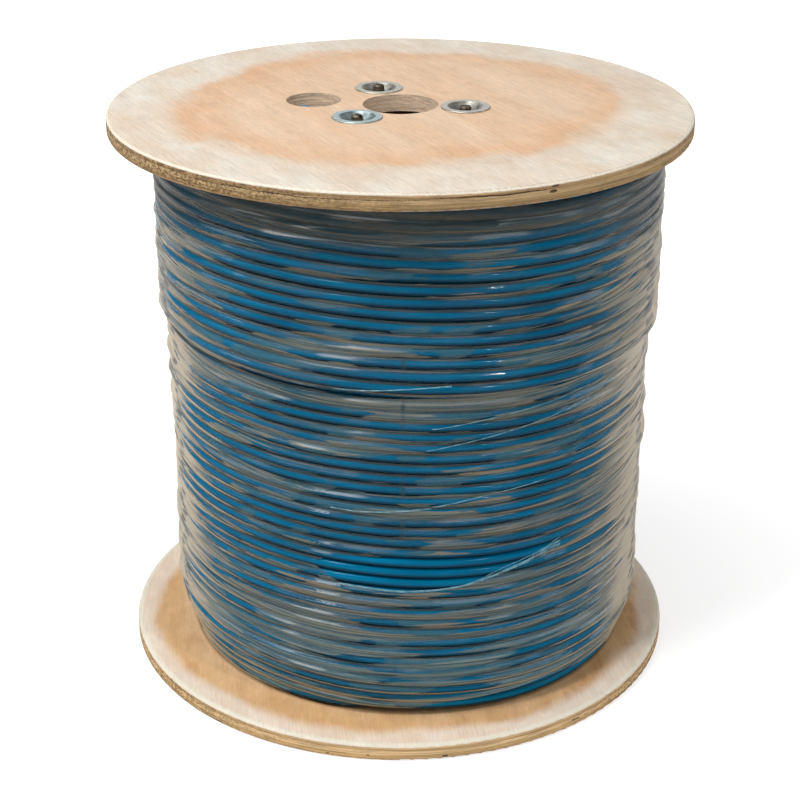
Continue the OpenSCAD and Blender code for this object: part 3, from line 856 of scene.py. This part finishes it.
class Film:
    """The film on a grid of angles and heights: its radius, the radius where it is taut, the
    turns of cable above, where it holds air and where turns press through"""

    def __init__(self, pieces):
        self.angles = np.arange(FILM_STEPS) * TURN / FILM_STEPS
        self.heights = np.arange(FILM_LOW, FILM_HIGH + FILM_ROW / 2, FILM_ROW)
        cable = self.felt(pieces)
        tight = closed(cable, TIGHT_BALL)
        slack = closed(cable, SLACK_BALL)
        self.airy = looseness(self.angles, self.heights)
        step = hump(self.heights, STEP_Z, 9 * MM)
        loose = np.clip(3 * self.airy - 1 + step[None, :], 0.05, 1)
        loose = loose * ramped(self.heights, 24 * MM, 26 * MM)[None, :]
        radius = tight + (slack - tight) * loose
        for _ in range(2):
            radius = (np.roll(radius, 1, 0) + 2 * radius + np.roll(radius, -1, 0)) / 4
        self.radius = np.maximum(radius, cable) + FILM_CLEAR + bulges(self.angles, self.heights)
        self.taut = slack + FILM_CLEAR
        self.turns = self.counted(cable)
        self.pressed = pressed(self.angles, self.heights)

    def felt(self, pieces):
        """Radius of the cable's outside, felt by rays towards the winding's axis"""
        trees = [BVHTree.FromObject(p, bpy.context.evaluated_depsgraph_get()) for p in pieces]
        start = UPPER_R + 30 * MM
        field = np.zeros((FILM_STEPS, len(self.heights)))
        for i, angle in enumerate(self.angles):
            out = (math.cos(angle), math.sin(angle))
            for j, z in enumerate(self.heights):
                begin = (SHIFT + start * out[0], start * out[1], z)
                hits = [t.ray_cast(begin, (-out[0], -out[1], 0.0))[3] for t in trees]
                missed = start - FULL_R + (FOOT_DROP if z < LAST_Z else 0)
                field[i, j] = start - min([h for h in hits if h is not None], default=missed)
        return field

    def counted(self, cable):
        """Turns of cable wound above each point, by the grooves that the rays found"""
        part, share = crossed(self.angles)
        count = np.zeros_like(cable)
        for zone, pitch in ((self.heights >= STEP_Z, UPPER_PITCH),
                            (self.heights < STEP_Z, FULL_PITCH)):
            laps = np.arange(FULL_TURNS + 3) - 0.5
            grooves = self.grooves(cable, FIRST_Z - pitch * (laps[None, :] + share[:, None]), pitch)
            for i in range(FILM_STEPS):
                row = np.interp(self.heights, grooves[i, ::-1], laps[::-1] + part[i])
                count[i] = np.where(zone, row, count[i])
        return count

    def grooves(self, cable, ideal, pitch):
        """Heights of the grooves: the lowest places near the ideal ones, smoothed round a turn
        that starts at the back"""
        rank = np.arange(FILM_STEPS)[:, None, None]
        reach = int(0.34 * pitch / FILM_ROW)
        rows = np.rint((ideal - self.heights[0]) / FILM_ROW).astype(int)[:, :, None]
        rows = np.clip(rows + np.arange(-reach, reach + 1), 0, len(self.heights) - 1)
        found = (np.argmin(cable[rank, rows], axis=2) - reach) * FILM_ROW
        found = np.roll(found, -FILM_STEPS // 4, axis=0)
        found = np.pad(found, ((4, 4), (0, 0)), mode="edge")
        found = sum(found[i:i + FILM_STEPS] for i in range(9)) / 9
        return ideal + np.roll(found, FILM_STEPS // 4, axis=0)

    def at(self, field, angles, heights):
        """Values of a field at points given by angle and height"""
        place = angles / TURN * FILM_STEPS
        low = np.floor(place).astype(int) % FILM_STEPS
        share = place - np.floor(place)
        row = np.clip((heights - self.heights[0]) / FILM_ROW, 0, len(self.heights) - 1.001)
        base = row.astype(int)
        lift = row - base
        lower = field[low, base] * (1 - lift) + field[low, base + 1] * lift
        high = (low + 1) % FILM_STEPS
        upper = field[high, base] * (1 - lift) + field[high, base + 1] * lift
        return lower * (1 - share) + upper * share

    def points(self, field, angles, heights, off=0.0):
        """Points in space on a field of radii, or a little off it"""
        r = self.at(field, angles, heights) + off
        return np.stack([SHIFT + r * np.cos(angles), r * np.sin(angles), heights], axis=-1)


def around(points, angles):
    """Heights along a line round the winding, from points of (degrees from the front, mm)"""
    return np.interp(from_front(angles), [p[0] for p in points], [p[1] for p in points]) * MM


def strip_faces(low, high, rows):
    """Faces of a strip of film, without those where its two edges meet"""
    i = np.repeat(np.arange(FILM_STEPS)[:, None], rows, axis=1)
    j = np.repeat(np.arange(rows)[None, :], FILM_STEPS, axis=0)
    following = (i + 1) % FILM_STEPS
    wide = rows + 1
    faces = np.stack([i * wide + j, following * wide + j, following * wide + j + 1,
                      i * wide + j + 1], axis=-1).reshape(-1, 4)
    gaps = (high - low)[faces[:, 0] // wide] + (high - low)[faces[:, 1] // wide]
    return faces[gaps > 0.2 * MM].tolist()


def film_strip(name, film, low, high, material):
    """Strip of film between two lines round the winding, with the values its material reads"""
    rows = int(np.max(high - low) / FILM_ROW)
    z = low[:, None] + (high - low)[:, None] * np.linspace(0, 1, rows + 1)[None, :]
    a = np.repeat(film.angles[:, None], rows + 1, axis=1)
    points = film.points(film.radius, a, z).reshape(-1, 3)
    mesh = bpy.data.meshes.new(name)
    mesh.from_pydata(points.tolist(), [], strip_faces(low, high, rows))
    slant = np.radians(np.clip(np.abs(from_front(a)) - 15, 0, 90))
    fallen = -FULL_PITCH * film.at(film.turns, a, z) - 9 * MM * (1 - np.cos(2 * slant))
    laid = np.concatenate([points[:, :2], fallen.reshape(-1, 1)], axis=1)
    for label, field in (("turns", film.turns), ("airy", film.airy), ("pressed", film.pressed)):
        values = film.at(field, a, z).reshape(-1)
        mesh.attributes.new(label, "FLOAT", "POINT").data.foreach_set("value", values)
    mesh.attributes.new("laid", "FLOAT_VECTOR", "POINT").data.foreach_set("vector", laid.reshape(-1))
    mesh.shade_smooth()
    mesh.materials.append(material)
    return new_piece(name, mesh)


def film_fibres(name, tree, film, strand, material):
    """Thin rope or strand of film, laid over the taut film through (degrees, mm) points"""
    points, fibres, radius, spread, fan = strand
    front = np.linspace(points[0][0], points[-1][0], 90)
    z = np.interp(front, [p[0] for p in points], [p[1] for p in points]) * MM
    z = np.convolve(np.pad(z, 6, mode="edge"), np.ones(13) / 13, mode="valid")
    rows = film.points(film.taut, np.radians(front - 90) % TURN, z, radius * MM).tolist()
    course = bpy.data.meshes.new(name + "_course")
    course.from_pydata(rows, [(i, i + 1) for i in range(len(rows) - 1)], [])
    return grown(name, tree, {
        "Fibres": fibres, "Spread": spread * MM, "Fan": fan * MM, "Fibre Radius": radius * MM,
        "Seed": float(len(name)), "Material": material}, course)


# --- Stage, lamps and camera ---

def lit_rays(tree):
    """1 for what the camera sees, straight or in a mirror or glass"""
    path = put(tree, "ShaderNodeLightPath").outputs
    seen = put(tree, MOST, [path["Is Camera Ray"], path["Is Glossy Ray"]])
    return put(tree, MOST, [seen, path["Is Transmission Ray"]])


def white_floor():
    """Seamless white floor that keeps the drum's soft shadow"""
    mesh = bpy.data.meshes.new("floor")
    mesh.from_pydata([(-40, -40, 0), (40, -40, 0), (40, 40, 0), (-40, 40, 0)], [], [(0, 1, 2, 3)])
    floor = new_piece("floor", mesh)
    material, tree, place = new_material("white_paper_floor")
    matt = put(tree, "ShaderNodeBsdfDiffuse", {"Color": "BEBEBE"})
    away = put(tree, LENGTH, [place]).outputs["Value"]
    level = put(tree, RANGE, [away, 0.2, 0.7, 0.66, 1.0])
    glow = put(tree, "ShaderNodeEmission", {
        "Color": "FFFFFF", "Strength": put(tree, TIMES, [lit_rays(tree), level])})
    put(tree, OUTPUT, {"Surface": put(tree, "ShaderNodeAddShader", [matt, glow])})
    mesh.materials.append(material)


def dim_world(strength):
    """Dim, even surroundings above the floor"""
    world = bpy.data.worlds.new("studio")
    bpy.context.scene.world = world
    world.use_nodes = True
    tree = world.node_tree
    tree.nodes.clear()
    back = put(tree, "ShaderNodeBackground", {"Color": "FFFFFF", "Strength": strength})
    put(tree, "ShaderNodeOutputWorld", {"Surface": back})


# Azimuth from the front towards +X and elevation in degrees, width and height in metres, watts
LAMPS = {
    "key": (-40, 60, 0.3, 0.7, 23),
    "strip": (-64, 52, 1.8, 0.06, 17),
    "sky": (-30, 64, 1.6, 1.6, 4.2),
    "front": (4, 8, 3.0, 1.2, 4),
    "kicker": (43, 40, 0.07, 0.12, 11),
    "left": (-88, 32, 1.2, 1.6, 11),
    "right": (86, 16, 1.6, 1.2, 7),
    "back": (180, 26, 2.4, 1.4, 9),
}
LAMP_AWAY = 2.6


def softbox(name, azimuth, elevation, width, height, power):
    """Soft lamp aimed at the drum's middle"""
    a, e = math.radians(azimuth), math.radians(elevation)
    aim = Matrix.Translation((0, 0, DRUM_H / 2))
    turned = Matrix.Rotation(a, 4, "Z") @ Matrix.Rotation(QUARTER - e, 4, "X")
    lamp = bpy.data.lights.new(name, "AREA")
    lamp.shape = "RECTANGLE"
    lamp.size = width
    lamp.size_y = height
    lamp.energy = power
    box = bpy.data.objects.new(name, lamp)
    box.matrix_world = aim @ turned @ Matrix.Translation((0, 0, LAMP_AWAY))
    bpy.context.scene.collection.objects.link(box)


CAMERA_PLACE = (0.0002, -1.20607, 0.72207)
CAMERA_TILT = math.radians(65.70)
CAMERA_ROLL = math.radians(0.15)


def place_camera():
    """Camera a little above the top flange, looking down on it"""
    lens = bpy.data.cameras.new("camera")
    lens.lens = 80.91
    lens.sensor_width = 36
    camera = bpy.data.objects.new("camera", lens)
    turned = Matrix.Rotation(CAMERA_TILT, 4, "X") @ Matrix.Rotation(CAMERA_ROLL, 4, "Z")
    camera.matrix_world = Matrix.Translation(CAMERA_PLACE) @ turned
    bpy.context.scene.collection.objects.link(camera)
    bpy.context.scene.camera = camera


# --- The drum ---

# Flaws: degrees from the front, mm under the face, half of the width in degrees and height in mm
TOP_SHEET = SimpleNamespace(
    top_z=DRUM_H, grain=-62, ring_r=152 * MM, border=13 * MM, ragged=60 * MM, bead_w=2.6 * MM,
    edge_light=1.06, fuzz=0.16, stains=0.0, foot_r=0.0,
    heart=("E9CBAE", "DFB28A"), ring=("E9E1D4", "E1CDB7"),
    flaws=((16.8, 3.4, 10, 0.5), (27.6, 2.0, 0.8, 1.0), (27.2, 5.2, 0.8, 1.0),
           (-20, 4.6, 24, 0.28), (140, 5, 12, 0.5), (-110, 9, 9, 0.5)))
BOTTOM_SHEET = SimpleNamespace(
    top_z=FLANGE_T, grain=-84, ring_r=184 * MM, border=6 * MM, ragged=24 * MM, bead_w=5.2 * MM,
    # Its edge factor is painted light: the bottom flange's edge is painted much lighter
    edge_light=1.72, fuzz=0.1, stains=0.38, foot_r=FULL_R - FOOT_DROP + 2.8 * MM,
    heart=("F2CDA2", "DDAE78"), ring=("F8E9DA", "F0D6BC"),
    flaws=((-14, 9.5, 0.35, 0.5), (-6, 8, 0.3, 0.4), (9, 9, 0.6, 0.9), (38, 6, 1.0, 0.7),
           (-42, 10, 6, 0.5), (60, 9, 12, 0.6), (170, 5, 9, 0.5)))
RODS = ("tie_rod_1", "tie_rod_2", "tie_rod_3")


def paint(material, *nodes):
    """Gives CAD nodes a material"""
    for node in nodes:
        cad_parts[node].data.materials.clear()
        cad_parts[node].data.materials.append(material)


def dress_wood_and_metal():
    """Materials of the flanges, the core, the nuts and the rods. Gives back the rods' steel."""
    # Height below which the nuts' dishes get painted shade
    soiled_z = DRUM_H + 0.6 * MM
    steel = plated("rolled_thread_steel", "857A68", "5C5447", 0.42)
    paint(plywood("poplar_plywood_top", TOP_SHEET), "top_flange")
    paint(plywood("poplar_plywood_bottom", BOTTOM_SHEET), "bottom_flange")
    paint(kraft_paper(), "core_tube")
    paint(plated("zinc_plated_pressed_steel", "D2D0C6", "AEACA0", 0.3, soiled_z),
          "top_nut_1", "top_nut_2")
    paint(plated("blue_passivated_zinc", "C6D6D6", "9FB2B6", 0.3, soiled_z), "top_nut_3")
    paint(plated("zinc_plated_pressed_steel_below", "C2C0B4", "9E9C90", 0.26),
          "bottom_nut_1", "bottom_nut_2", "bottom_nut_3")
    paint(steel, *RODS)
    return steel


def dress_winding(steel):
    """The cable and the rods' threads, which one tree winds. Gives back the outer layers."""
    jacket = cable_jacket()
    coil = winding_tree()
    first, second, third, full, upper = wind_cable(coil, jacket)
    declare(first, "cable_jacket", "cable_inner_layers")
    declare(second, "cable_jacket")
    declare(third, "cable_jacket")
    declare(full, "cable_jacket", "cable_bottom_turns")
    declare(upper, "cable_jacket", "cable_upper_layer")
    paint(jacket, "cable_inner_end")
    for rod in RODS:
        declare(cut_thread(coil, rod, steel), "rod_steel")
    return [third, full, upper]


# Lines round the film, in degrees from the front and mm of height: its lower edge, and the rope
# and the upper edge of the window that it leaves bare
EDGE = [(-180, 12.6), (-9, 12.6), (-3, 15.2), (2, 18), (6, 20.5), (20, 24.6), (30, 25.6),
        (36, 26.2), (51, 21.7), (72, 13), (180, 12.6)]
ROPE = [(-180, 131), (-22, 130), (-15.4, 118.4), (-1.8, 115.2), (7.1, 116.1), (13.9, 117.8),
        (20.9, 123.4), (28.5, 128.1), (36.7, 136.1), (50.5, 140.3), (90, 135), (180, 131)]
WINDOW = [(-180, 131), (-22, 130), (-17.6, 138.6), (-7.6, 140.1), (-1.8, 142.5), (7, 141.9),
          (16, 141.2), (25.7, 139.3), (36.7, 137.7), (50.5, 140.3), (90, 135), (180, 131)]

# Gathered film: its course, its fibres, and their radius, spread and fan in mm
STRANDS = {
    "film_rope": (ROPE[2:9], 7, 0.24, 4, 26),
    "film_strand_1": ([(5, 233.8), (16.4, 238), (27.8, 241.3), (43.7, 245.1)], 2, 0.25, 2, 5),
    "film_strand_2": ([(3.7, 218.4), (10.6, 222.2), (18.1, 225.5), (43.9, 235.9)], 2, 0.22, 2, 6),
    "film_strand_3": ([(5.2, 177.8), (16.8, 183.2), (31.7, 186.5)], 2, 0.22, 2, 4),
    "film_strand_4": ([(-17.4, 174.5), (-10.6, 173.5), (-1.9, 175.1), (5.1, 177.1)], 2, 0.25, 2, 3),
    "film_strand_5": ([(-32.7, 263.6), (-23.9, 260), (-17, 261.2), (-12.2, 262.5), (-7.9, 262.8),
                       (-1.9, 264.6), (8.6, 265.9)], 3, 0.25, 4, 6),
}


def dress_film(layers):
    """The film over the outer layers, in three strips with a window between two, and its strands"""
    film = Film(layers)
    clear = stretch_film()
    edge, rope, window = (around(line, film.angles) for line in (EDGE, ROPE, WINDOW))
    step_line = np.full(FILM_STEPS, STEP_Z + 4 * MM)
    high_line = np.full(FILM_STEPS, FILM_HIGH)
    declare(film_strip("film_lower", film, edge, rope, clear), "stretch_film", "film_wrap")
    declare(film_strip("film_middle", film, window, step_line, clear), "stretch_film")
    declare(film_strip("film_upper", film, step_line, high_line, clear), "stretch_film")
    gathered = gathered_film()
    fibres = fibre_tree()
    for name, strand in STRANDS.items():
        declare(film_fibres(name, fibres, film, strand, gathered), "stretch_film")


place_camera()
white_floor()
dim_world(0.22)
for name, lamp in LAMPS.items():
    softbox(name, *lamp)
bpy.context.scene.view_settings.view_transform = "Standard"

dress_film(dress_winding(dress_wood_and_metal()))
